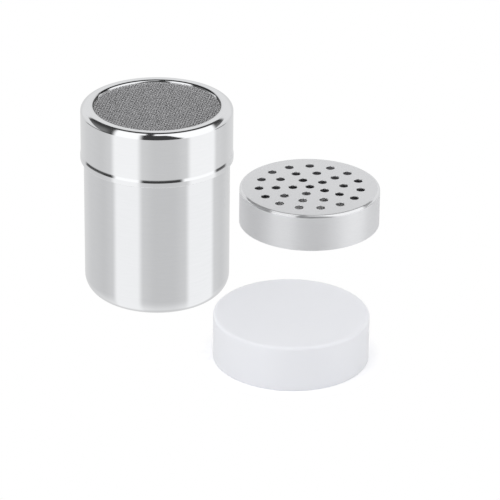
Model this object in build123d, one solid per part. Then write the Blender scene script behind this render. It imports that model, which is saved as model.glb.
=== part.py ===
"""Spice shaker set: a drawn steel cup, a mesh lid, a spare perforated lid and a soft dust cover.

The cup stands on the origin with its axis along +Z. The mesh lid is on the cup, and the spare lid
and the dust cover stand on the same surface beside it. Millimetres throughout.
"""
from build123d import *
import os

# Sheet and fits
sheet = 0.55                  # stainless sheet of the cup and of both lids
slip_gap = 0.1                # radial room of the spare lid on the cup, and of the dust cover on it
hem_gap = 0.5                 # radial room of the mesh lid's hem on the cup
press_gap = 0.02              # radial room left by a pressed-in ring

# Cup
cup_radius = 33.7             # outside of the wall
cup_height = 87.6             # from the table to the rim
cup_corner_radius = 9.0       # outside radius between the wall and the base
foot_width = 4.4              # standing ring, radially
foot_recess = 0.9             # base panel above the table
rim_chamfer = 0.12            # broken edges of the rim

# Mesh lid
lid_height = 26.1             # from the lower hem to the top
lid_skirt_play = 0.3          # the skirt stands this much clear of the hem's inner face
lid_shoulder_radius = 2.8     # outside radius between the top and the skirt
lid_hem_height = 3.8          # folded-in lower edge
lid_joggle_height = 1.4       # slope by which the skirt steps out over the hem
lid_rim_width = 6.25          # top between the window over the mesh and the skirt's outside
lid_hem_setback = 0.45        # the edge folded under around the window ends short of the shoulder
lid_edge_land = 0.1           # upright of the window's edge, between its rounding and the mesh
lid_fold_bevel = 0.3          # bevels that round the lower hem off

# Wire mesh
wire_size = 0.36              # across the flats of one wire
wire_pitch = 1.27             # twenty wires to the inch
mesh_inset = 1.5              # from the skirt to the cut edge of the mesh disc
mesh_turn = -9.4              # degrees, the weave against the X axis

# Ring that clamps the mesh and stops the cup's rim
ring_seat = 0.3               # the ring's foot reaches this far in over the cup's rim
ring_height = 3.5             # from the cup's rim to the mesh
ring_setback = 0.8            # the flange stays this far outside the window
ring_bevel = 1.3              # bevel outside between flange and wall, clear of the lid's shoulder

# Spare perforated lid
spare_height = 18.5
spare_edge_radius = 1.3
hole_radius = 2.2
hole_ring_pitch = 8.3         # from the middle hole to the first ring, and from ring to ring
hole_rings = 3
holes_per_ring = 5            # five in the first ring, and five more in each next one
hole_start_angle = 41.0       # degrees, the ray on which every ring has a hole
spare_place = (72.7, 75.1)    # axis on the table

# Dust cover
cover_wall = 0.6
cover_height = 21.3
cover_edge_radius = 1.4
cover_place = (61.7, -67.7)   # axis on the table

# Sizes that follow
hem_thickness = 2 * sheet
hem_inner_radius = cup_radius + hem_gap
hem_radius = hem_inner_radius + hem_thickness
skirt_inner_radius = hem_inner_radius + lid_skirt_play
skirt_radius = skirt_inner_radius + sheet
window_radius = skirt_radius - lid_rim_width
window_hem_radius = skirt_radius - lid_shoulder_radius - lid_hem_setback
window_edge_radius = hem_thickness - lid_edge_land
ring_radius = skirt_inner_radius - press_gap
ring_sheet = ring_radius - cup_radius + ring_seat
mesh_radius = skirt_inner_radius - mesh_inset
mesh_bottom = cup_height + ring_height
mesh_top = mesh_bottom + 2 * wire_size
lid_top = mesh_top + hem_thickness
lid_bottom = lid_top - lid_height
spare_radius = cup_radius + slip_gap + sheet
cover_radius = spare_radius + slip_gap + cover_wall


def turned(section):
    """The solid that a section in radius and height makes about the vertical axis."""
    return revolve(Plane.XZ * section, Axis.Z)


def bent_sheet(points, radii, thickness, side):
    """A sheet whose one face follows the points, each corner bent to its own radius."""
    face_line = FilletPolyline(*points, radius=radii).wire()
    return make_face(face_line.offset_2d(thickness, kind=Kind.INTERSECTION, side=side))


def cup_body():
    """Deep-drawn cup: straight wall, large base corner, and a base panel raised inside the foot."""
    foot_outer = cup_radius - cup_corner_radius
    foot_inner = foot_outer - foot_width
    outside = [
        (0, foot_recess),
        (foot_inner - foot_recess, foot_recess),
        (foot_inner, 0),
        (cup_radius, 0),
        (cup_radius, cup_height),
    ]
    cup = turned(bent_sheet(outside, [0, 0, cup_corner_radius], sheet, Side.LEFT))
    rim = cup.faces().sort_by(Axis.Z)[-1]
    return chamfer(rim.edges(), rim_chamfer)


def mesh_lid_shell():
    """Drawn lid without a top panel: the window's edge and the skirt's lower edge are closed hems."""
    bevel = lid_fold_bevel
    hem_top = lid_bottom + lid_hem_height
    corners = [
        ((window_radius, mesh_top), 0),
        ((window_radius, lid_top), window_edge_radius),
        ((skirt_radius, lid_top), lid_shoulder_radius),
        ((skirt_radius, hem_top), 0),
        ((hem_radius, hem_top - lid_joggle_height), 0),
        ((hem_radius, lid_bottom + bevel), 0),
        ((hem_radius - bevel, lid_bottom), 0),
        ((hem_inner_radius + bevel, lid_bottom), 0),
        ((hem_inner_radius, lid_bottom + bevel), 0),
        ((hem_inner_radius, hem_top - lid_joggle_height), 0),
        ((skirt_inner_radius, hem_top), 0),
        ((skirt_inner_radius, lid_top - sheet), lid_shoulder_radius - sheet),
        ((window_hem_radius, lid_top - sheet), 0),
        ((window_hem_radius, mesh_top), 0),
    ]
    points = [point for point, radius in corners]
    radii = [radius for point, radius in corners]
    return turned(make_face(FilletPolyline(*points, radius=radii, close=True)))


def wire_layer(height, turn):
    """Parallel wires of one direction of the mesh, cut to the disc, with their middles at a height."""
    wires = []
    wires_each_side = int(mesh_radius / wire_pitch)
    for step in range(-wires_each_side, wires_each_side + 1):
        offset = step * wire_pitch
        length = 2 * (mesh_radius**2 - offset**2) ** 0.5
        profile = RegularPolygon(wire_size / 2, 6, major_radius=False)
        wire = extrude(Plane.YZ * profile, length / 2, both=True)
        wires.append(Rot(0, 0, turn) * Pos(0, offset, height) * wire.solid())
    return Compound(wires)


def mesh_retaining_ring():
    """Angle ring pressed into the skirt: its flange holds the mesh up against the window's hem."""
    outside = [
        (window_radius + ring_setback, mesh_bottom),
        (ring_radius - ring_bevel, mesh_bottom),
        (ring_radius, mesh_bottom - ring_bevel),
        (ring_radius, cup_height),
    ]
    return turned(bent_sheet(outside, [0, 0], ring_sheet, Side.RIGHT))


def cap(radius, height, edge_radius, wall):
    """Plain round cap with one rounded edge, open below."""
    outside = [(0, height), (radius, height), (radius, 0)]
    return turned(bent_sheet(outside, [edge_radius], wall, Side.RIGHT))


def perforated_lid():
    """Spare lid of the cup, with a middle hole and rings of holes around it."""
    lid = cap(spare_radius, spare_height, spare_edge_radius, sheet)
    hole = Pos(0, 0, spare_height - sheet / 2) * Cylinder(hole_radius, 2 * sheet)
    holes = [hole]
    for ring in range(1, hole_rings + 1):
        places = PolarLocations(ring * hole_ring_pitch, ring * holes_per_ring, hole_start_angle)
        holes += [place * hole for place in places]
    return Pos(*spare_place) * (lid - holes)


def dust_cover():
    """Soft translucent cap that slips over a lid."""
    return Pos(*cover_place) * cap(cover_radius, cover_height, cover_edge_radius, cover_wall)


parts = {
    "cup_body": cup_body(),
    "mesh_lid_shell": mesh_lid_shell(),
    "mesh_warp_wires": wire_layer(mesh_top - wire_size / 2, mesh_turn),
    "mesh_weft_wires": wire_layer(mesh_bottom + wire_size / 2, mesh_turn + 90),
    "mesh_retaining_ring": mesh_retaining_ring(),
    "perforated_lid": perforated_lid(),
    "dust_cover": dust_cover(),
}

os.makedirs("parts", exist_ok=True)
for name, part in parts.items():
    export_step(part, f"parts/{name}.step")
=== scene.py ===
import math

import bmesh
import bpy
from mathutils import Matrix, Vector


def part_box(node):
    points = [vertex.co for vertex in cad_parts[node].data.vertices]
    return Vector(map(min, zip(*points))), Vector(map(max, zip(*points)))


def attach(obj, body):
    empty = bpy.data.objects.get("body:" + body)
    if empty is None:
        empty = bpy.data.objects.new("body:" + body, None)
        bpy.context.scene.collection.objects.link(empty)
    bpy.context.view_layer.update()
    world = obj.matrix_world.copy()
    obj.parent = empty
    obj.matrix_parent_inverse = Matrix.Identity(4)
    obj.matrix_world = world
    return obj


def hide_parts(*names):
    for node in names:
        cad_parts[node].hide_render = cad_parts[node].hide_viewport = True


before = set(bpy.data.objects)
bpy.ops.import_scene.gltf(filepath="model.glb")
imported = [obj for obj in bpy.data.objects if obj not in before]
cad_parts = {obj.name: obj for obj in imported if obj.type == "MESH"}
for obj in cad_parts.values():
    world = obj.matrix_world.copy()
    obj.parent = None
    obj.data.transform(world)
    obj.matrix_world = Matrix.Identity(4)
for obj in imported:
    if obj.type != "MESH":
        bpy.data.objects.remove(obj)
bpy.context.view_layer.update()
print("frame loaded with", len(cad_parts), "nodes")

mm = 0.001
steelSheet = 0.55   # thickness of the steel of the cup and both lids, in millimetres as all sizes here
aroundSteps = 190   # sides of every turned surface
onAxis = 1e-6       # a shorter distance counts as none


# meshes

def cadSize(node):
    # place, radius and heights of a turned CAD node
    low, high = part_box(node)
    return dict(x=(low.x + high.x) / 2 / mm, y=(low.y + high.y) / 2 / mm,
                radius=(high.x - low.x) / 2 / mm, bottom=low.z / mm, top=high.z / mm)


def rounded(corners, stepDegrees=7.5):
    # corners are (radius, height, fold) and each fold above 0 becomes an arc of that radius
    points = []
    for index, (radius, height, fold) in enumerate(corners):
        here = Vector((radius, height))
        if fold <= 0:
            points.append(here)
            continue
        before = Vector(corners[index - 1][:2]) - here
        after = Vector(corners[(index + 1) % len(corners)][:2]) - here
        half = before.angle(after) / 2
        centre = here + (before.normalized() + after.normalized()).normalized() * fold / math.sin(half)
        start = here + before.normalized() * fold / math.tan(half) - centre
        end = here + after.normalized() * fold / math.tan(half) - centre
        sweep = start.angle_signed(end)
        steps = max(2, math.ceil(math.degrees(abs(sweep)) / stepDegrees))
        for step in range(steps + 1):
            turn = -sweep * step / steps
            points.append(centre + Matrix.Rotation(turn, 2) @ start)
    return points


def meshObject(name, vertices, faces):
    mesh = bpy.data.meshes.new(name)
    mesh.from_pydata(vertices, [], faces)
    mesh.update()
    obj = bpy.data.objects.new(name, mesh)
    bpy.context.collection.objects.link(obj)
    return obj


def turnedPiece(name, outline, x=0.0, y=0.0, steps=aroundSteps):
    # revolves a closed outline in radius and height about an upright axis
    vertices = []
    rows = []
    for point in outline:
        if point.x < onAxis:
            rows.append([len(vertices)] * steps)
            vertices.append((x * mm, y * mm, point.y * mm))
            continue
        rows.append(list(range(len(vertices), len(vertices) + steps)))
        for step in range(steps):
            angle = 2 * math.pi * step / steps
            vertices.append(((x + point.x * math.cos(angle)) * mm,
                             (y + point.x * math.sin(angle)) * mm, point.y * mm))
    faces = []
    for index, row in enumerate(rows):
        following = rows[(index + 1) % len(rows)]
        if row[0] == row[1] and following[0] == following[1]:
            continue
        for step in range(steps):
            nextStep = (step + 1) % steps
            corners = [row[step], row[nextStep], following[nextStep], following[step]]
            faces.append(list(dict.fromkeys(corners)))
    obj = meshObject(name, vertices, faces)
    fixNormals(obj)
    return obj


def fixNormals(obj):
    work = bmesh.new()
    work.from_mesh(obj.data)
    bmesh.ops.recalc_face_normals(work, faces=work.faces)
    work.to_mesh(obj.data)
    work.free()
    shadeSmooth(obj)


def shadeSmooth(obj):
    obj.data.polygons.foreach_set("use_smooth", [True] * len(obj.data.polygons))


def weightNormals(obj):
    # large faces keep their own direction, so the folds beside them stay narrow
    modifier = obj.modifiers.new("faceWeight", "WEIGHTED_NORMAL")
    modifier.weight = 100
    modifier.keep_sharp = True


def dress(obj, body, slot, materials, *nodes):
    for material in materials:
        obj.data.materials.append(material)
    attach(obj, body)
    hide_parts(*nodes)


insideRule = dict(towardsAxis=-0.3, down=-0.7, above=0.5)   # parts of a normal, and a share of the height


def paintInside(obj, size):
    # the second material goes on faces that look at the axis, and on those above half height that look down
    upper = size["top"] * mm * insideRule["above"]
    for polygon in obj.data.polygons:
        outward = Vector((polygon.center.x - size["x"] * mm, polygon.center.y - size["y"] * mm, 0))
        facing = outward.normalized().dot(polygon.normal) if outward.length > onAxis else 0
        looksDown = polygon.normal.z < insideRule["down"] and polygon.center.z > upper
        if facing < insideRule["towardsAxis"] or looksDown:
            polygon.material_index = 1


# shader nodes

middle = 0.5   # of what a noise gives, and of a blend


def place(tree, kind, options=None, **inputs):
    node = tree.nodes.new(kind)
    for key, value in (options or {}).items():
        setattr(node, key, value)
    for key, value in inputs.items():
        feed(tree, node.inputs[key], value)
    return node


def feed(tree, socket, value):
    if isinstance(value, bpy.types.NodeSocket):
        tree.links.new(value, socket)
    else:
        socket.default_value = value


def calc(tree, operation, *values):
    node = place(tree, "ShaderNodeMath", dict(operation=operation))
    for socket, value in zip(node.inputs, values):
        feed(tree, socket, value)
    return node.outputs[0]


def calcVector(tree, operation, *values):
    node = place(tree, "ShaderNodeVectorMath", dict(operation=operation))
    for socket, value in zip(node.inputs, values):
        feed(tree, socket, value)
    return node.outputs["Value" if operation in ("LENGTH", "DISTANCE") else "Vector"]


def ramp(tree, value, start, end, low=0.0, high=1.0):
    # smooth step from low at start to high at end
    node = place(tree, "ShaderNodeMapRange", dict(interpolation_type="SMOOTHSTEP"))
    for socket, amount in zip(node.inputs, (value, start, end, low, high)):
        feed(tree, socket, amount)
    return node.outputs[0]


def past(tree, value, limit, soft):
    # 1 past the limit and 0 before it
    return ramp(tree, value, limit - soft, limit + soft)


def upTo(tree, value, limit, soft):
    return ramp(tree, value, limit + soft, limit - soft)


def blendValue(tree, factor, low, high):
    node = place(tree, "ShaderNodeMix", dict(data_type="FLOAT"))
    feed(tree, node.inputs[0], factor)
    feed(tree, node.inputs[2], low)
    feed(tree, node.inputs[3], high)
    return node.outputs[0]


def blendColour(tree, factor, low, high):
    node = place(tree, "ShaderNodeMix", dict(data_type="RGBA"))
    feed(tree, node.inputs[0], factor)
    feed(tree, node.inputs[6], low)
    feed(tree, node.inputs[7], high)
    return node.outputs[2]


# effects that several materials share

def buildTurnedGrain():
    # fine lines left by spinning and polishing, which run round the piece's axis
    group = bpy.data.node_groups.new("turnedGrain", "ShaderNodeTree")
    sockets = group.interface
    sockets.new_socket("Axis", in_out="INPUT", socket_type="NodeSocketVector")
    sockets.new_socket("Lines", in_out="INPUT", socket_type="NodeSocketFloat")
    sockets.new_socket("Streak", in_out="INPUT", socket_type="NodeSocketFloat")
    sockets.new_socket("Grain", in_out="OUTPUT", socket_type="NodeSocketFloat")
    inside = group.nodes.new("NodeGroupInput")
    outside = group.nodes.new("NodeGroupOutput")
    position = group.nodes.new("ShaderNodeTexCoord").outputs["Object"]
    local = calcVector(group, "SUBTRACT", position, inside.outputs["Axis"])
    flat = calcVector(group, "MULTIPLY", local, (1, 1, 0))
    away = calcVector(group, "LENGTH", flat)
    turn = place(group, "ShaderNodeSeparateXYZ", Vector=calcVector(group, "NORMALIZE", flat))
    split = place(group, "ShaderNodeSeparateXYZ", Vector=local)
    along = calc(group, "SUBTRACT", away, split.outputs["Z"])
    stretched = place(
        group, "ShaderNodeCombineXYZ",
        X=calc(group, "MULTIPLY", turn.outputs["X"], inside.outputs["Streak"]),
        Y=calc(group, "MULTIPLY", turn.outputs["Y"], inside.outputs["Streak"]),
        Z=calc(group, "MULTIPLY", along, inside.outputs["Lines"]))
    noise = place(group, "ShaderNodeTexNoise", Vector=stretched.outputs[0], Scale=1.0, Detail=3.0,
                  Roughness=0.6)
    group.links.new(noise.outputs["Fac"], outside.inputs["Grain"])
    return group


def buildHandling():
    # broad faint clouding, as on a surface that was wiped
    group = bpy.data.node_groups.new("handling", "ShaderNodeTree")
    group.interface.new_socket("Size", in_out="INPUT", socket_type="NodeSocketFloat")
    group.interface.new_socket("Cloud", in_out="OUTPUT", socket_type="NodeSocketFloat")
    inside = group.nodes.new("NodeGroupInput")
    outside = group.nodes.new("NodeGroupOutput")
    position = group.nodes.new("ShaderNodeTexCoord").outputs["Object"]
    noise = place(group, "ShaderNodeTexNoise", Vector=position, Scale=inside.outputs["Size"], Detail=2.0,
                  Roughness=0.5, Distortion=0.4)
    group.links.new(noise.outputs["Fac"], outside.inputs["Cloud"])
    return group


turnedGrain = buildTurnedGrain()
handling = buildHandling()


# steel

def letReflectionsPast(tree, surface, insideReach):
    # pieces don't show in each other: a reflected ray goes through outside faces, and through the
    # inside faces of a piece that it didn't start in, which it tells by its length
    rays = tree.nodes.new("ShaderNodeLightPath")
    passing = rays.outputs["Is Glossy Ray"]
    if insideReach:
        through = calc(tree, "GREATER_THAN", rays.outputs["Transparent Depth"], 0.5)   # one face or more
        far = calc(tree, "GREATER_THAN", rays.outputs["Ray Length"], insideReach * mm)
        passing = calc(tree, "MULTIPLY", passing, calc(tree, "MAXIMUM", through, far))
    clear = tree.nodes.new("ShaderNodeBsdfTransparent")
    whole = place(tree, "ShaderNodeMixShader")
    feed(tree, whole.inputs[0], passing)
    tree.links.new(surface, whole.inputs[1])
    tree.links.new(clear.outputs[0], whole.inputs[2])
    output = next(node for node in tree.nodes if node.type == "OUTPUT_MATERIAL")
    tree.links.new(whole.outputs[0], output.inputs["Surface"])


def steel(name, look, x=0.0, y=0.0, insideReach=0.0):
    # one stainless finish; look gives its colour, roughness, how much the grain shows and any painted shade
    material = bpy.data.materials.new(name)
    material.use_nodes = True
    tree = material.node_tree
    shader = tree.nodes["Principled BSDF"]
    shader.inputs["Metallic"].default_value = look.get("metallic", 1.0)
    grain = place(tree, "ShaderNodeGroup", dict(node_tree=turnedGrain), Axis=(x * mm, y * mm, 0.0),
                  Lines=look["lines"], Streak=look["streak"])
    cloud = place(tree, "ShaderNodeGroup", dict(node_tree=handling), Size=look["cloudSize"])
    grainShift = calc(tree, "SUBTRACT", grain.outputs[0], middle)
    cloudShift = calc(tree, "SUBTRACT", cloud.outputs[0], middle)
    roughGrain = calc(tree, "MULTIPLY_ADD", grainShift, look["roughGrain"], look["roughness"])
    rough = calc(tree, "MULTIPLY_ADD", cloudShift, look["roughCloud"], roughGrain)
    tree.links.new(rough, shader.inputs["Roughness"])
    toneGrain = calc(tree, "MULTIPLY_ADD", grainShift, look["toneGrain"], middle)
    tone = calc(tree, "MULTIPLY_ADD", cloudShift, look["toneCloud"], toneGrain)
    colour = blendColour(tree, tone, (*look["darkColour"], 1), (*look["lightColour"], 1))
    # painted shade: a dark band blended into the colour on the fold round the mesh lid's window
    if "paintedShade" in look:
        colour = paintWindowShade(tree, colour, look)
    tree.links.new(colour, shader.inputs["Base Color"])
    bump = place(tree, "ShaderNodeBump", Strength=look["bump"], Distance=look["bumpDepth"] * mm,
                 Height=grain.outputs[0])
    tree.links.new(bump.outputs[0], shader.inputs["Normal"])
    letReflectionsPast(tree, shader.outputs[0], insideReach)
    return material


def paintWindowShade(tree, colour, look):
    # painted shade: a dark band on the fold round the window, a little out from its edge, standing for the
    # shadow and dark reflection there; at the left and the right it reaches to the window's edge
    position = tree.nodes.new("ShaderNodeTexCoord").outputs["Object"]
    flat = calcVector(tree, "MULTIPLY", position, (1, 1, 0))
    away = calcVector(tree, "LENGTH", flat)
    split = place(tree, "ShaderNodeSeparateXYZ", Vector=flat)
    sideways = calc(tree, "ABSOLUTE", split.outputs["X"])
    atSides = calc(tree, "MULTIPLY", ramp(tree, sideways, *(reach * mm for reach in look["sidesFrom"])),
                   ramp(tree, split.outputs["Y"], *(reach * mm for reach in look["sidesBack"])))
    edge = look["windowEdge"]
    start, end = (blendValue(tree, atSides, (edge + plain) * mm, (edge + side) * mm)
                  for plain, side in zip(look["paintedShade"], look["sidePaintedShade"]))
    soft = look["paintedShadeSoft"] * mm
    pastStart = past(tree, calc(tree, "SUBTRACT", away, start), 0.0, soft)
    beforeEnd = past(tree, calc(tree, "SUBTRACT", end, away), 0.0, soft)
    within = calc(tree, "MULTIPLY", pastStart, beforeEnd)
    return blendColour(tree, calc(tree, "MULTIPLY", within, look["paintedShadeDepth"]), colour, (0, 0, 0, 1))


# lines and cloudSize count per metre, streak is how often the grain changes on the way round, and
# rough..., tone... and bump say how strongly grain and clouding show
mirrorLook = dict(
    darkColour=(0.72, 0.728, 0.742), lightColour=(0.785, 0.792, 0.806), roughness=0.075,
    lines=1200.0, streak=4.0, cloudSize=30.0, roughGrain=0.03, roughCloud=0.03,
    toneGrain=0.6, toneCloud=0.3, bump=0.15, bumpDepth=0.002)
drawnLook = dict(
    darkColour=(0.62, 0.62, 0.63), lightColour=(0.74, 0.74, 0.75), roughness=0.42,
    lines=900.0, streak=6.0, cloudSize=60.0, roughGrain=0.15, roughCloud=0.1,
    toneGrain=0.8, toneCloud=0.6, bump=0.4, bumpDepth=0.01)


# cup

cupSpec = dict(
    corner=9.0, footWidth=4.4, footRecess=0.9, footFold=1.2, rimFold=0.2,
    insideReach=120.0)   # over the longest straight way inside the cup


def cupOutline(size):
    corner = cupSpec["corner"]
    recess = cupSpec["footRecess"]
    fold = cupSpec["footFold"]
    rim = cupSpec["rimFold"]
    footInner = size["radius"] - corner - cupSpec["footWidth"]
    footShift = steelSheet * 0.4   # keeps the foot's sloping side about one sheet thick
    inner = size["radius"] - steelSheet
    return rounded([
        (0, recess, 0),
        (footInner - recess, recess, fold),
        (footInner, 0, fold + steelSheet),
        (size["radius"], 0, corner),
        (size["radius"], size["top"], rim),
        (inner, size["top"], rim),
        (inner, steelSheet, corner - steelSheet),
        (footInner + footShift, steelSheet, fold),
        (footInner - recess + footShift, recess + steelSheet, fold + steelSheet),
        (0, recess + steelSheet, 0),
    ])


cup = cadSize("cup_body")
mirrorSteel = steel("mirrorSteel", mirrorLook)
drawnSteel = steel("drawnSteel", drawnLook, insideReach=cupSpec["insideReach"])
cupPiece = turnedPiece("cupShell", cupOutline(cup))
paintInside(cupPiece, cup)
weightNormals(cupPiece)
dress(cupPiece, "cup", "polished_steel", (mirrorSteel, drawnSteel), "cup_body")
print("cup done")


# mesh lid

lidSpec = dict(
    hemGap=0.5, skirtPlay=0.3,                                    # room for the cup, and more in the skirt
    shoulder=2.8, rimWidth=6.25,
    slopeRun=1.0, slopeDrop=0.4, slopeEase=2.6, windowFold=0.8,   # the rim slopes down to the window
    hemSetback=0.45, tuckFold=0.1,                                # the sheet folded under round the window
    hemHeight=3.8, hemFold=0.5, joggleHeight=1.4, joggleEase=8.0, joggleBend=1.0,
    foldWidth=2.0)                                                # the fold's finish and painted shade, from the window's edge out

lid = cadSize("mesh_lid_shell")
clamp = cadSize("mesh_retaining_ring")
hemInner = cup["radius"] + lidSpec["hemGap"]
skirtInner = hemInner + lidSpec["skirtPlay"]
skirtRadius = skirtInner + steelSheet
windowRadius = skirtRadius - lidSpec["rimWidth"]
windowHem = skirtRadius - lidSpec["shoulder"] - lidSpec["hemSetback"]
hemTop = lid["bottom"] + lidSpec["hemHeight"]
joggleFoot = hemTop - lidSpec["joggleHeight"]
meshTop = lid["top"] - 2 * steelSheet

lidOutline = rounded([
    (windowRadius, meshTop, 0),
    (windowRadius, lid["top"] - lidSpec["slopeDrop"], lidSpec["windowFold"]),
    (windowRadius + lidSpec["slopeRun"], lid["top"], lidSpec["slopeEase"]),
    (skirtRadius, lid["top"], lidSpec["shoulder"]),
    (skirtRadius, hemTop, lidSpec["joggleEase"]),
    (lid["radius"], joggleFoot, lidSpec["joggleBend"]),
    (lid["radius"], lid["bottom"], lidSpec["hemFold"]),
    (hemInner, lid["bottom"], lidSpec["hemFold"]),
    (hemInner, joggleFoot, lidSpec["joggleBend"]),
    (skirtInner, hemTop, lidSpec["joggleEase"]),
    (skirtInner, lid["top"] - steelSheet, lidSpec["shoulder"] - steelSheet),
    (windowHem, lid["top"] - steelSheet, lidSpec["tuckFold"]),
    (windowHem, meshTop, lidSpec["tuckFold"]),
])


def paintWindowFold(obj):
    # the third material, with its band of painted shade, goes on the fold round the window
    for polygon in obj.data.polygons:
        fromAxis = polygon.center.xy.length / mm
        if polygon.center.z > meshTop * mm and fromAxis < windowRadius + lidSpec["foldWidth"]:
            polygon.material_index = 2


lidLook = dict(mirrorLook, darkColour=(0.745, 0.753, 0.765), lightColour=(0.81, 0.817, 0.83))
# the fold round the window is a little rougher and carries a band of painted shade
foldLook = dict(
    mirrorLook, roughness=0.1,
    windowEdge=windowRadius, paintedShade=(0.45, 0.85), sidePaintedShade=(-0.2, 0.7),   # start and end of the painted shade beyond the edge
    sidesFrom=(20.0, 26.5), sidesBack=(13.0, 7.0),                          # where the sides begin, X and Y
    paintedShadeSoft=0.1, paintedShadeDepth=0.95)
lidSteel = steel("lidSteel", lidLook)
foldSteel = steel("foldSteel", foldLook)
lidPiece = turnedPiece("meshLidShell", lidOutline)
paintInside(lidPiece, lid)
paintWindowFold(lidPiece)
weightNormals(lidPiece)
dress(lidPiece, "mesh_lid", "polished_steel", (lidSteel, drawnSteel, foldSteel), "mesh_lid_shell")

clampSpec = dict(seat=0.3, setback=0.8, bend=1.7, edge=0.15)
clampSheet = clamp["radius"] - cup["radius"] + clampSpec["seat"]
clampInner = clamp["radius"] - clampSheet
flangeInner = windowRadius + clampSpec["setback"]
flangeUnder = clamp["top"] - clampSheet
clampOutline = rounded([
    (flangeInner, clamp["top"], clampSpec["edge"]),
    (clamp["radius"], clamp["top"], clampSpec["bend"]),
    (clamp["radius"], clamp["bottom"], clampSpec["edge"]),
    (clampInner, clamp["bottom"], clampSpec["edge"]),
    (clampInner, flangeUnder, clampSpec["bend"] - clampSheet),
    (flangeInner, flangeUnder, clampSpec["edge"]),
])
clampPiece = turnedPiece("clampRing", clampOutline)
weightNormals(clampPiece)
dress(clampPiece, "mesh_lid", "polished_steel", (drawnSteel,), "mesh_retaining_ring")
print("mesh lid done")


# woven mesh

weave = dict(pitch=1.27, wire=0.36, turn=-9.4, sides=6, stepsPerPitch=4, inset=1.5)
meshRadius = skirtInner - weave["inset"]
meshMiddle = meshTop - weave["wire"]


def wovenWire(vertices, faces, offset, parity, across):
    # one crimped wire: over and under its neighbours, along X or along Y before the weave is turned
    half = math.sqrt(meshRadius ** 2 - offset ** 2)
    spacing = weave["pitch"] / weave["stepsPerPitch"]
    count = int(half / spacing)
    lift = weave["wire"] / 2
    turn = math.radians(weave["turn"])
    sides = weave["sides"]
    first = len(vertices)
    for step in range(-count, count + 1):
        travel = step * spacing
        wave = math.cos(math.pi * travel / weave["pitch"]) * parity
        slope = -math.sin(math.pi * travel / weave["pitch"]) * parity * lift * math.pi / weave["pitch"]
        tilt = math.atan(slope)
        for side in range(sides):
            angle = 2 * math.pi * (side + 0.5) / sides
            sideways = offset + weave["wire"] / 2 * math.cos(angle)
            up = weave["wire"] / 2 * math.sin(angle)
            along = travel - up * math.sin(tilt)
            height = meshMiddle + wave * lift + up * math.cos(tilt)
            x, y = (sideways, along) if across else (along, sideways)
            vertices.append(((x * math.cos(turn) - y * math.sin(turn)) * mm,
                             (x * math.sin(turn) + y * math.cos(turn)) * mm, height * mm))
    for row in range(2 * count):
        for side in range(sides):
            here = first + row * sides + side
            beside = first + row * sides + (side + 1) % sides
            faces.append((here, beside, beside + sides, here + sides))
    faces.append(tuple(first + side for side in range(sides)))
    faces.append(tuple(first + 2 * count * sides + side for side in range(sides)))


def wovenLayer(name, across):
    vertices = []
    faces = []
    eachSide = int(meshRadius / weave["pitch"])
    for step in range(-eachSide, eachSide + 1):
        parity = (1 if step % 2 == 0 else -1) * (-1 if across else 1)
        wovenWire(vertices, faces, step * weave["pitch"], parity, across)
    obj = meshObject(name, vertices, faces)
    fixNormals(obj)
    return obj


wireLook = dict(
    darkColour=(0.495, 0.495, 0.505), lightColour=(0.60, 0.60, 0.61), roughness=0.42,
    lines=300.0, streak=40.0, cloudSize=400.0, roughGrain=0.1, roughCloud=0.1,
    toneGrain=0.6, toneCloud=0.8, bump=0.2, bumpDepth=0.004)
wireSteel = steel("wireSteel", wireLook)
warpPiece = wovenLayer("warpWires", False)
dress(warpPiece, "mesh_lid", "mesh_steel", (wireSteel,), "mesh_warp_wires")
weftPiece = wovenLayer("weftWires", True)
dress(weftPiece, "mesh_lid", "mesh_steel", (wireSteel,), "mesh_weft_wires")
print("woven mesh done")


# spare perforated lid

spareSpec = dict(
    edge=1.3, rimFold=0.2,
    holeRadius=2.2, holePitch=8.3, rings=3, firstRing=5, startAngle=41.0, holeSides=48,
    deburr=0.12, deburrBow=0.3,     # width of the softened edge, and how near to its corner it passes
    cutBeyond=1.0,                  # the cutters stand out of the sheet by this
    flat=0.995, upright=0.05,       # upward parts of a normal: more is the flat top, less is a wall
    skin=0.002)                     # outside faces are this much or more above the sheet's underside
spare = cadSize("perforated_lid")
satinLook = dict(
    darkColour=(0.69, 0.695, 0.71), lightColour=(0.81, 0.815, 0.83), metallic=0.7, roughness=0.46,
    lines=5200.0, streak=9.0, cloudSize=45.0, roughGrain=0.12, roughCloud=0.05,
    toneGrain=0.9, toneCloud=0.3, bump=0.5, bumpDepth=0.006)
satinTopLook = dict(satinLook, darkColour=(0.68, 0.685, 0.70), lightColour=(0.79, 0.795, 0.81),
                    metallic=0.6, roughness=0.17, roughGrain=0.05, streak=3.0, toneGrain=0.6, bump=0.15)
edgeLook = dict(satinLook, roughness=0.1, metallic=0.62, roughGrain=0.03, bump=0.05)
# painted shade: the inside of the spare lid gets a much darker copy of the drawn steel, standing for the
# shade seen in there through the holes
shadedHollowLook = dict(drawnLook, darkColour=(0.20, 0.20, 0.21), lightColour=(0.28, 0.28, 0.29))


def capOutline(size, edge, wall, rim):
    inner = size["radius"] - wall
    return rounded([
        (0, size["top"], 0),
        (size["radius"], size["top"], edge),
        (size["radius"], size["bottom"], rim),
        (inner, size["bottom"], rim),
        (inner, size["top"] - wall, edge - wall),
        (0, size["top"] - wall, 0),
    ])


def holePlaces():
    # a middle hole and rings of holes, each ring with five more than the one inside it
    places = [(spare["x"], spare["y"])]
    for ring in range(1, spareSpec["rings"] + 1):
        count = ring * spareSpec["firstRing"]
        reach = ring * spareSpec["holePitch"]
        for index in range(count):
            angle = math.radians(spareSpec["startAngle"] + 360 * index / count)
            places.append((spare["x"] + reach * math.cos(angle), spare["y"] + reach * math.sin(angle)))
    return places


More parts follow.
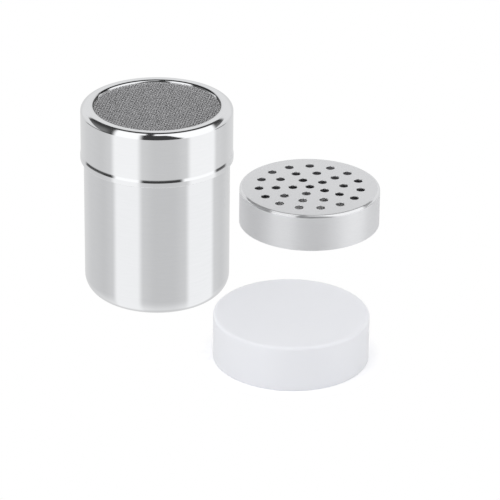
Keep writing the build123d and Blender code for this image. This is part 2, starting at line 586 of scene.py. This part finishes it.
def holeCutter():
    # a spool for each hole: its flared ends leave the deburred edges
    radius = spareSpec["holeRadius"]
    soft = spareSpec["deburr"]
    bow = soft * spareSpec["deburrBow"]
    beyond = spareSpec["cutBeyond"]
    top = spare["top"]
    bottom = top - steelSheet
    outline = [Vector(point) for point in (
        (0, top + beyond), (radius + soft, top + beyond), (radius + soft, top), (radius + bow, top - bow),
        (radius, top - soft), (radius, bottom + soft), (radius + bow, bottom + bow),
        (radius + soft, bottom), (radius + soft, bottom - beyond), (0, bottom - beyond))]
    spool = turnedPiece("spool", outline, steps=spareSpec["holeSides"])
    cutter = bmesh.new()
    for x, y in holePlaces():
        cutter.from_mesh(spool.data)
        added = cutter.verts[-len(spool.data.vertices):]
        bmesh.ops.translate(cutter, verts=added, vec=Vector((x * mm, y * mm, 0)))
    obj = meshObject("holeSpools", [], [])
    cutter.to_mesh(obj.data)
    cutter.free()
    bpy.data.objects.remove(spool)
    return obj


def cutHoles(obj, cutter):
    modifier = obj.modifiers.new("holes", "BOOLEAN")
    modifier.operation = "DIFFERENCE"
    modifier.solver = "EXACT"
    modifier.object = cutter
    depsgraph = bpy.context.evaluated_depsgraph_get()
    cutMesh = bpy.data.meshes.new_from_object(obj.evaluated_get(depsgraph))
    obj.modifiers.clear()
    obj.data = cutMesh
    bpy.data.objects.remove(cutter)
    shadeSmooth(obj)


def paintSpareTop(obj):
    # above the underside of the sheet, the flat top and the sloping edges have finishes of their own
    underside = (spare["top"] - steelSheet + spareSpec["skin"]) * mm
    edgeFoot = (spare["top"] - spareSpec["edge"]) * mm
    for polygon in obj.data.polygons:
        up = polygon.normal.z
        if polygon.center.z > underside:
            polygon.material_index = 3 if up > spareSpec["flat"] else 0
            polygon.use_smooth = up < spareSpec["flat"]
        if polygon.center.z > edgeFoot and spareSpec["upright"] < up < spareSpec["flat"]:
            polygon.material_index = 2


spareOutline = capOutline(spare, spareSpec["edge"], steelSheet, spareSpec["rimFold"])
sparePiece = turnedPiece("spareLidShell", spareOutline, spare["x"], spare["y"])
cutHoles(sparePiece, holeCutter())
paintInside(sparePiece, spare)
paintSpareTop(sparePiece)
weightNormals(sparePiece)
satinSteel = steel("satinSteel", satinLook, spare["x"], spare["y"])
shadedHollowSteel = steel("shadedHollowSteel", shadedHollowLook, spare["x"], spare["y"], insideReach=2 * spare["radius"])
edgeSteel = steel("edgeSteel", edgeLook, spare["x"], spare["y"])
satinTop = steel("satinTop", satinTopLook, spare["x"], spare["y"])
spareMaterials = (satinSteel, shadedHollowSteel, edgeSteel, satinTop)
dress(sparePiece, "spare_lid", "satin_steel", spareMaterials, "perforated_lid")
print("spare lid done")


# dust cover

coverSpec = dict(wall=0.6, edge=1.4, rimFold=0.25)
frostLook = dict(
    cloudy=(0.885, 0.90, 0.965), clear=(0.905, 0.918, 0.975), roughness=0.42, roughGrain=0.1,
    scatter=0.5, scatterDepth=3.0, scatterColours=(1.0, 1.0, 1.0), ior=1.5,   # all colours go as deep
    grainSize=2600.0, cloudSize=35.0, bump=0.12, bumpDepth=0.02,
    coat=0.3, coatRoughness=0.2)
cover = cadSize("dust_cover")


def frostedPlastic(look):
    material = bpy.data.materials.new("frostedPlastic")
    material.use_nodes = True
    tree = material.node_tree
    shader = tree.nodes["Principled BSDF"]
    position = tree.nodes.new("ShaderNodeTexCoord").outputs["Object"]
    cloud = place(tree, "ShaderNodeGroup", dict(node_tree=handling), Size=look["cloudSize"])
    grain = place(tree, "ShaderNodeTexNoise", Vector=position, Scale=look["grainSize"], Detail=2.0)
    colour = blendColour(tree, cloud.outputs[0], (*look["cloudy"], 1), (*look["clear"], 1))
    tree.links.new(colour, shader.inputs["Base Color"])
    grainShift = calc(tree, "SUBTRACT", grain.outputs["Fac"], middle)
    rough = calc(tree, "MULTIPLY_ADD", grainShift, look["roughGrain"], look["roughness"])
    tree.links.new(rough, shader.inputs["Roughness"])
    shader.inputs["Subsurface Weight"].default_value = look["scatter"]
    shader.inputs["Subsurface Radius"].default_value = look["scatterColours"]
    shader.inputs["Subsurface Scale"].default_value = look["scatterDepth"] * mm
    shader.inputs["IOR"].default_value = look["ior"]
    shader.inputs["Coat Weight"].default_value = look["coat"]
    shader.inputs["Coat Roughness"].default_value = look["coatRoughness"]
    bump = place(tree, "ShaderNodeBump", Strength=look["bump"], Distance=look["bumpDepth"] * mm,
                 Height=grain.outputs["Fac"])
    tree.links.new(bump.outputs[0], shader.inputs["Normal"])
    return material


coverOutline = capOutline(cover, coverSpec["edge"], coverSpec["wall"], coverSpec["rimFold"])
coverPiece = turnedPiece("dustCoverShell", coverOutline, cover["x"], cover["y"])
weightNormals(coverPiece)
dress(coverPiece, "cover", "frosted_plastic", (frostedPlastic(frostLook),), "dust_cover")
coverPiece.visible_glossy = False
print("dust cover done")


# studio

# angles are in degrees, with facing 0 at the front; a pair is where a change begins and ends, and a
# strip is its middle and its half width
studio = dict(
    rise=25.0,                                  # height of the front above the table
    # upright walls: pale, with bright strips
    pale=0.70, band=1.13, bands=((-23.6, 11.0), (37.8, 12.4)), bandSoft=2.6,
    halo=0.08, haloWidth=13.0,                  # softer light on both sides of the strips
    lowTilt=(1.0, -35.0), lowGain=0.2,          # brighter where the wall turns under
    flankFacing=(40.0, 62.0), flank=0.045,      # and at the sides
    footTilt=(-30.0, -50.0), footShade=0.72,    # darker again towards the table
    # rounded edges: dark, with white strips, and thin white lines on their upper part
    dark=0.058, white=1.27, edgeBands=((-22.6, 10.9), (35.2, 15.0)),
    edgeLines=((10.6, 12.6), (-11.5, 3.0)), lineFrom=49.0, lineTo=66.0,
    lineShift=(6.0, 22.0), lineDrop=34.0,       # towards the right the lines begin lower
    sideGlow=0.17, glowFacing=(34.0, 44.0), glowTilt=(65.0, 25.0),
    # where the dark lies on them
    darkLeft=-66.5, darkRight=64.5, darkSoft=3.0,
    darkFrom=6.0, darkTo=88.0, tiltSoft=2.0,
    taperFacing=(38.0, 80.0), taper=62.0,       # its lower limit rises towards the sides
    creaseTo=11.0,                              # but a crease at the foot of an edge stays dark
    # above, beside and behind
    behind=0.895, behindTilt=(0.0, 40.0), backFade=(0.55, 0.85), backValue=0.78,
    ambient=0.95)                               # what lights a surface that doesn't reflect


def studioAngles(tree, rise):
    # a direction is told by the way that a surface faces where it throws light from there to the front:
    # facing goes round the piece, and tilt from upright walls, 0, to flat tops, 90; nearness is 2 for
    # light from the front and 0 for light from behind
    direction = tree.nodes.new("ShaderNodeTexCoord").outputs["Generated"]
    halfway = calcVector(tree, "ADD", direction, (0, -math.cos(rise), math.sin(rise)))
    split = place(tree, "ShaderNodeSeparateXYZ", Vector=halfway)
    forward = calc(tree, "MULTIPLY", split.outputs["Y"], -1.0)
    level = calcVector(tree, "LENGTH", calcVector(tree, "MULTIPLY", halfway, (1, 1, 0)))
    facing = calc(tree, "DEGREES", calc(tree, "ARCTAN2", split.outputs["X"], forward))
    tilt = calc(tree, "DEGREES", calc(tree, "ARCTAN2", split.outputs["Z"], level))
    nearness = calcVector(tree, "LENGTH", halfway)
    return facing, tilt, nearness


def strips(tree, facing, bands, soft, wider=0.0):
    # 1 inside any of the bands
    shown = 0.0
    for centre, halfWidth in bands:
        distance = calc(tree, "ABSOLUTE", calc(tree, "SUBTRACT", facing, centre))
        shown = calc(tree, "MAXIMUM", shown, upTo(tree, distance, halfWidth + wider, soft))
    return shown


def wallLight(tree, look, facing, tilt):
    halfHalo = look["haloWidth"] / 2
    halo = strips(tree, facing, look["bands"], halfHalo, wider=halfHalo)
    aside = calc(tree, "ABSOLUTE", facing)
    light = calc(tree, "MULTIPLY_ADD", halo, look["halo"], look["pale"])
    light = calc(tree, "MULTIPLY_ADD", ramp(tree, tilt, *look["lowTilt"]), look["lowGain"], light)
    light = calc(tree, "MULTIPLY_ADD", ramp(tree, aside, *look["flankFacing"]), look["flank"], light)
    light = blendValue(tree, strips(tree, facing, look["bands"], look["bandSoft"]), light, look["band"])
    foot = ramp(tree, tilt, *look["footTilt"], 1.0, look["footShade"])
    return calc(tree, "MULTIPLY", light, foot)


def edgeLight(tree, look, facing, tilt):
    soft = look["tiltSoft"]
    shift = ramp(tree, facing, *look["lineShift"])
    lineTilt = calc(tree, "MULTIPLY_ADD", shift, look["lineDrop"], tilt)
    lines = calc(tree, "MULTIPLY", strips(tree, facing, look["edgeLines"], look["bandSoft"] / 2),
                 past(tree, lineTilt, look["lineFrom"], soft))
    wide = strips(tree, facing, look["edgeBands"], look["bandSoft"])
    bright = calc(tree, "MULTIPLY", calc(tree, "MAXIMUM", lines, wide),
                  upTo(tree, tilt, look["lineTo"], soft))
    height = calc(tree, "MULTIPLY", ramp(tree, tilt, look["creaseTo"], look["creaseTo"] + 2 * soft),
                  ramp(tree, tilt, *look["glowTilt"]))
    aside = calc(tree, "ABSOLUTE", facing)
    glow = calc(tree, "MULTIPLY", ramp(tree, aside, *look["glowFacing"]), height)
    dark = calc(tree, "MULTIPLY_ADD", glow, look["sideGlow"], look["dark"])
    return blendValue(tree, bright, dark, look["white"])


def edgeShare(tree, look, facing, tilt):
    # 1 where the light of the rounded edges holds
    soft = look["tiltSoft"]
    inFront = calc(tree, "MULTIPLY", past(tree, facing, look["darkLeft"], look["darkSoft"]),
                   upTo(tree, facing, look["darkRight"], look["darkSoft"]))
    aside = calc(tree, "ABSOLUTE", facing)
    taper = ramp(tree, aside, *look["taperFacing"], 0.0, look["taper"])
    onEdge = past(tree, calc(tree, "SUBTRACT", tilt, taper), look["darkFrom"], soft)
    onCrease = calc(tree, "MULTIPLY", past(tree, tilt, look["darkFrom"], soft),
                    upTo(tree, tilt, look["creaseTo"], soft))
    return calc(tree, "MULTIPLY", inFront, calc(tree, "MAXIMUM", onEdge, onCrease))


def studioWorld(look):
    # what the steel reflects; seen directly, the surroundings are white
    world = bpy.data.worlds.new("studio")
    bpy.context.scene.world = world
    world.use_nodes = True
    world.cycles.sampling_method = "NONE"
    tree = world.node_tree
    tree.nodes.clear()
    facing, tilt, nearness = studioAngles(tree, math.radians(look["rise"]))
    walls = blendValue(tree, ramp(tree, tilt, *look["behindTilt"]), wallLight(tree, look, facing, tilt),
                       look["behind"])
    value = blendValue(tree, edgeShare(tree, look, facing, tilt), walls, edgeLight(tree, look, facing, tilt))
    value = blendValue(tree, past(tree, tilt, look["darkTo"], look["tiltSoft"]), value, look["behind"])
    value = blendValue(tree, ramp(tree, nearness, *look["backFade"]), look["backValue"], value)
    rays = tree.nodes.new("ShaderNodeLightPath")
    value = blendValue(tree, rays.outputs["Is Glossy Ray"], look["ambient"], value)
    value = blendValue(tree, rays.outputs["Is Camera Ray"], value, 1.0)
    background = place(tree, "ShaderNodeBackground", Color=(1, 1, 1, 1), Strength=value)
    tree.links.new(background.outputs[0], tree.nodes.new("ShaderNodeOutputWorld").inputs["Surface"])


studioWorld(studio)

floorSpec = dict(
    size=12.0,                     # metres
    gap=0.01,                      # the table lies this far under the pieces
    colour=0.92,                   # what lights the pieces from below
    beside=1.06, fade=(1.0, 7.5),  # shade round the cover, which fades over these distances from its wall
    under=1.25,                    # shade under the steel pieces: under the cup within cupFoot of its
    cupFoot=26.0, lidInset=0.4,    # axis, and under the spare lid up to lidInset inside its wall
    reach=36.0)                    # only shorter reflected rays meet the table there


def fromAxisOf(tree, position, size):
    return calcVector(tree, "DISTANCE", position, (size["x"] * mm, size["y"] * mm, 0))


def paleShader(tree, shade):
    return place(tree, "ShaderNodeBsdfDiffuse", Color=(shade, shade, shade, 1))


def layered(tree, factor, first, second):
    node = place(tree, "ShaderNodeMixShader")
    feed(tree, node.inputs[0], factor)
    tree.links.new(first.outputs[0], node.inputs[1])
    tree.links.new(second.outputs[0], node.inputs[2])
    return node


def floorMaterial(look):
    # plain white, but shaded under the steel pieces and close round the cover's foot; a reflected ray
    # looks past the table into the studio, except close under the steel pieces
    material = bpy.data.materials.new("table")
    material.use_nodes = True
    tree = material.node_tree
    tree.nodes.clear()
    rays = tree.nodes.new("ShaderNodeLightPath")
    position = tree.nodes.new("ShaderNodeNewGeometry").outputs["Position"]
    underSteel = 0.0
    for size, foot in ((cup, look["cupFoot"]), (spare, spare["radius"] - look["lidInset"])):
        within = calc(tree, "LESS_THAN", fromAxisOf(tree, position, size), foot * mm)
        underSteel = calc(tree, "MAXIMUM", underSteel, within)
    fadeStart, fadeEnd = ((cover["radius"] + away) * mm for away in look["fade"])
    besideCover = ramp(tree, fromAxisOf(tree, position, cover), fadeEnd, fadeStart)
    white = place(tree, "ShaderNodeEmission", Color=(1, 1, 1, 1), Strength=1.0)
    seen = layered(tree, besideCover, white, paleShader(tree, look["beside"]))
    seen = layered(tree, underSteel, seen, paleShader(tree, look["under"]))
    surface = layered(tree, rays.outputs["Is Camera Ray"], paleShader(tree, look["colour"]), seen)
    close = calc(tree, "LESS_THAN", rays.outputs["Ray Length"], look["reach"] * mm)
    stopping = calc(tree, "MULTIPLY", underSteel, close)
    passing = calc(tree, "MULTIPLY", rays.outputs["Is Glossy Ray"], calc(tree, "SUBTRACT", 1.0, stopping))
    whole = layered(tree, passing, surface, tree.nodes.new("ShaderNodeBsdfTransparent"))
    tree.links.new(whole.outputs[0], tree.nodes.new("ShaderNodeOutputMaterial").inputs["Surface"])
    return material


end = floorSpec["size"] / 2
table = meshObject("table", [(-end, -end, 0), (end, -end, 0), (end, end, 0), (-end, end, 0)], [(0, 1, 2, 3)])
table.location.z = -floorSpec["gap"] * mm
table.data.materials.append(floorMaterial(floorSpec))

lampSpec = dict(size=0.9, power=2.2, place=(-0.5, -0.45, 0.9))   # metres and watts


def softLamp(spec):
    light = bpy.data.lights.new("softLamp", "AREA")
    light.shape = "SQUARE"
    light.size = spec["size"]
    light.energy = spec["power"]
    lamp = bpy.data.objects.new("softLamp", light)
    bpy.context.collection.objects.link(lamp)
    lamp.location = spec["place"]
    lamp.rotation_euler = Vector(spec["place"]).to_track_quat("Z", "Y").to_euler()
    lamp.visible_glossy = False


softLamp(lampSpec)


# camera

cameraSpec = dict(
    place=(33.48, -1363.13, 670.10), pitch=25.509, roll=0.5,
    lens=233.02, sensor=36.0, shift=0.0423,
    clip=(0.01, 50.0))   # metres


def makeCamera(spec):
    camera = bpy.data.cameras.new("camera")
    camera.lens = spec["lens"]
    camera.sensor_width = spec["sensor"]
    camera.shift_x = spec["shift"]
    camera.clip_start, camera.clip_end = spec["clip"]
    obj = bpy.data.objects.new("camera", camera)
    bpy.context.collection.objects.link(obj)
    obj.location = Vector(spec["place"]) * mm
    turn = Matrix.Rotation(math.radians(90 - spec["pitch"]), 3, "X")
    turn = turn @ Matrix.Rotation(math.radians(spec["roll"]), 3, "Z")
    obj.rotation_euler = turn.to_euler()
    bpy.context.scene.camera = obj


makeCamera(cameraSpec)
bpy.context.scene.view_settings.view_transform = "Standard"
print("studio done")
